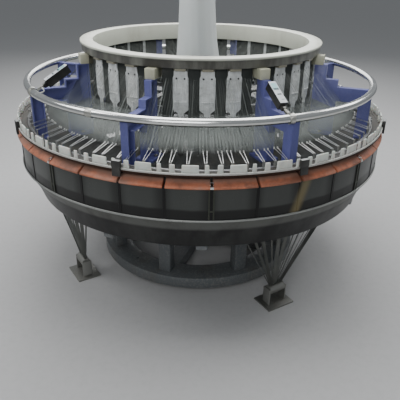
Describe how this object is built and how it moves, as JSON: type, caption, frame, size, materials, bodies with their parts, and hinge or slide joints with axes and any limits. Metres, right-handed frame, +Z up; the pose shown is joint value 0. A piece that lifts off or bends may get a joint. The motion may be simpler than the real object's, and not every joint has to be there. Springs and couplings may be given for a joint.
{
  "type": "circular loom",
  "caption": "Circular loom that weaves warp tapes into a fabric tube: rotating shuttles inside a round table with comb rim, heald belts, brackets and guard rings.",
  "frame": {"origin": "on the floor under the weaving axis", "axes": "+Z up along the weaving axis, -Y towards the front, +X to the right seen from the front"},
  "size_m": [2.3298, 2.3298, 1.75],
  "materials": {
    "frame_paint": "grey machine enamel, oily and dusty",
    "zinc_steel": "zinc plated steel, dull",
    "rim_metal": "turned cast aluminium with a bright lip",
    "orange_plastic": "orange-red plastic, worn and dusty",
    "skirt_panel": "dark glossy paint",
    "grey_paint": "grey paint with a bright upper band",
    "comb_plastic": "off-white plastic",
    "black_clip": "black plastic",
    "blue_paint": "semi-gloss blue enamel",
    "polished_tube": "polished stainless steel tube",
    "clamp_cast": "cast zinc, light grey",
    "sensor_case": "black case with a light face",
    "cream_paint": "cream enamel, slightly grimy",
    "plate_plastic": "pale grey plastic, dusty",
    "belt_rubber": "dark green-black belt",
    "reed_steel": "ground steel",
    "shaft_steel": "ground steel",
    "rotor_iron": "painted cast iron, oily",
    "vee_belt": "black rubber belt",
    "motor_paint": "blue-grey motor enamel",
    "shuttle_body": "grey fibre-filled plastic",
    "weft_yarn": "white tape yarn wound on a tube",
    "weaving_steel": "turned steel",
    "woven_fabric": "pale grey-white woven plastic tape cloth",
    "dancer_wire": "bright spring wire",
    "warp_tape": "thin translucent white plastic tape"
  },
  "bodies": {
    "frame": {"levelling_feet": "zinc_steel", "base_frame": "frame_paint", "columns": "frame_paint", "lower_deck": "frame_paint", "machine_table": "frame_paint", "rim_ring": "rim_metal", "rim_segments": "orange_plastic", "skirt_panels": "skirt_panel", "lower_cone": "grey_paint", "comb_ring": "comb_plastic", "rim_clips": "black_clip", "bracket_1": "blue_paint", "bracket_2": "blue_paint", "bracket_3": "blue_paint", "bracket_4": "blue_paint", "bracket_5": "blue_paint", "bracket_6": "blue_paint", "bracket_7": "blue_paint", "bracket_8": "blue_paint", "bracket_bolts": "zinc_steel", "tube_ring": "polished_tube", "tube_clamps": "clamp_cast", "top_ring": "cream_paint", "heald_plates": "plate_plastic", "reed_rings": "reed_steel", "reed_wires": "reed_steel", "main_bearings": "shaft_steel", "drive_belts": "vee_belt", "motor": "motor_paint", "centre_post": "shaft_steel", "weaving_ring": "weaving_steel", "fabric_tube": "woven_fabric", "dancer_arms": "dancer_wire", "warp_tapes": "warp_tape", "floor_guides": "zinc_steel"},
    "rotor": {"main_shaft": "shaft_steel", "shuttle_spider": "rotor_iron", "cam_drum": "rotor_iron", "driven_pulley": "rotor_iron", "shuttle_1": "shuttle_body", "shuttle_2": "shuttle_body", "shuttle_3": "shuttle_body", "shuttle_4": "shuttle_body"},
    "motor_rotor": {"motor_pulley": "rotor_iron"},
    "bobbin_body_1": {"bobbin_1": "weft_yarn"},
    "bobbin_body_2": {"bobbin_2": "weft_yarn"},
    "bobbin_body_3": {"bobbin_3": "weft_yarn"},
    "bobbin_body_4": {"bobbin_4": "weft_yarn"},
    "sensor_body_1": {"sensor_1": "sensor_case"},
    "sensor_body_2": {"sensor_2": "sensor_case"},
    "sensor_body_3": {"sensor_3": "sensor_case"},
    "sensor_body_4": {"sensor_4": "sensor_case"},
    "heald_set_1": {"heald_belts_1": "belt_rubber"},
    "heald_set_2": {"heald_belts_2": "belt_rubber"},
    "heald_set_3": {"heald_belts_3": "belt_rubber"},
    "heald_set_4": {"heald_belts_4": "belt_rubber"},
    "heald_set_5": {"heald_belts_5": "belt_rubber"},
    "heald_set_6": {"heald_belts_6": "belt_rubber"},
    "heald_set_7": {"heald_belts_7": "belt_rubber"},
    "heald_set_8": {"heald_belts_8": "belt_rubber"}
  },
  "joints": [
    {"name": "main_spin", "type": "hinge", "parent": "frame", "child": "rotor", "pos_m": [0, 0, 0.7], "axis": [0, 0, 1], "continuous": true},
    {"name": "motor_spin", "type": "hinge", "parent": "frame", "child": "motor_rotor", "pos_m": [0, 0.82, 0.5], "axis": [0, 0, 1], "continuous": true},
    {"name": "bobbin_spin_1", "type": "hinge", "parent": "rotor", "child": "bobbin_body_1", "pos_m": [0.31961, -0.31961, 1.1613], "axis": [0.7071, 0.7071, 0], "continuous": true},
    {"name": "bobbin_spin_2", "type": "hinge", "parent": "rotor", "child": "bobbin_body_2", "pos_m": [0.31961, 0.31961, 1.1613], "axis": [-0.7071, 0.7071, 0], "continuous": true},
    {"name": "bobbin_spin_3", "type": "hinge", "parent": "rotor", "child": "bobbin_body_3", "pos_m": [-0.31961, 0.31961, 1.1613], "axis": [-0.7071, -0.7071, 0], "continuous": true},
    {"name": "bobbin_spin_4", "type": "hinge", "parent": "rotor", "child": "bobbin_body_4", "pos_m": [-0.31961, -0.31961, 1.1613], "axis": [0.7071, -0.7071, 0], "continuous": true},
    {"name": "sensor_tilt_1", "type": "hinge", "parent": "frame", "child": "sensor_body_1", "pos_m": [0.40195, -0.91566, 1.257], "axis": [0.9157, 0.4019, 0], "range_deg": [-12, 35]},
    {"name": "sensor_tilt_2", "type": "hinge", "parent": "frame", "child": "sensor_body_2", "pos_m": [0.85717, 0.51504, 1.257], "axis": [-0.515, 0.8572, 0], "range_deg": [-12, 35]},
    {"name": "sensor_tilt_3", "type": "hinge", "parent": "frame", "child": "sensor_body_3", "pos_m": [-0.40195, 0.91566, 1.257], "axis": [-0.9157, -0.4019, 0], "range_deg": [-12, 35]},
    {"name": "sensor_tilt_4", "type": "hinge", "parent": "frame", "child": "sensor_body_4", "pos_m": [-0.85717, -0.51504, 1.257], "axis": [0.515, -0.8572, 0], "range_deg": [-12, 35]},
    {"name": "heald_lift_1", "type": "slide", "parent": "frame", "child": "heald_set_1", "axis": [0, 0, 1], "range_m": [-0.035, 0.035]},
    {"name": "heald_lift_2", "type": "slide", "parent": "frame", "child": "heald_set_2", "axis": [0, 0, 1], "range_m": [-0.035, 0.035]},
    {"name": "heald_lift_3", "type": "slide", "parent": "frame", "child": "heald_set_3", "axis": [0, 0, 1], "range_m": [-0.035, 0.035]},
    {"name": "heald_lift_4", "type": "slide", "parent": "frame", "child": "heald_set_4", "axis": [0, 0, 1], "range_m": [-0.035, 0.035]},
    {"name": "heald_lift_5", "type": "slide", "parent": "frame", "child": "heald_set_5", "axis": [0, 0, 1], "range_m": [-0.035, 0.035]},
    {"name": "heald_lift_6", "type": "slide", "parent": "frame", "child": "heald_set_6", "axis": [0, 0, 1], "range_m": [-0.035, 0.035]},
    {"name": "heald_lift_7", "type": "slide", "parent": "frame", "child": "heald_set_7", "axis": [0, 0, 1], "range_m": [-0.035, 0.035]},
    {"name": "heald_lift_8", "type": "slide", "parent": "frame", "child": "heald_set_8", "axis": [0, 0, 1], "range_m": [-0.035, 0.035]}
  ],
  "couplings": [
    {"joint": "motor_spin", "follows": "main_spin", "ratio": 3.0537},
    {"joint": "heald_lift_5", "follows": "heald_lift_1", "ratio": -1},
    {"joint": "heald_lift_6", "follows": "heald_lift_2", "ratio": -1},
    {"joint": "heald_lift_7", "follows": "heald_lift_3", "ratio": -1},
    {"joint": "heald_lift_8", "follows": "heald_lift_4", "ratio": -1}
  ]
}
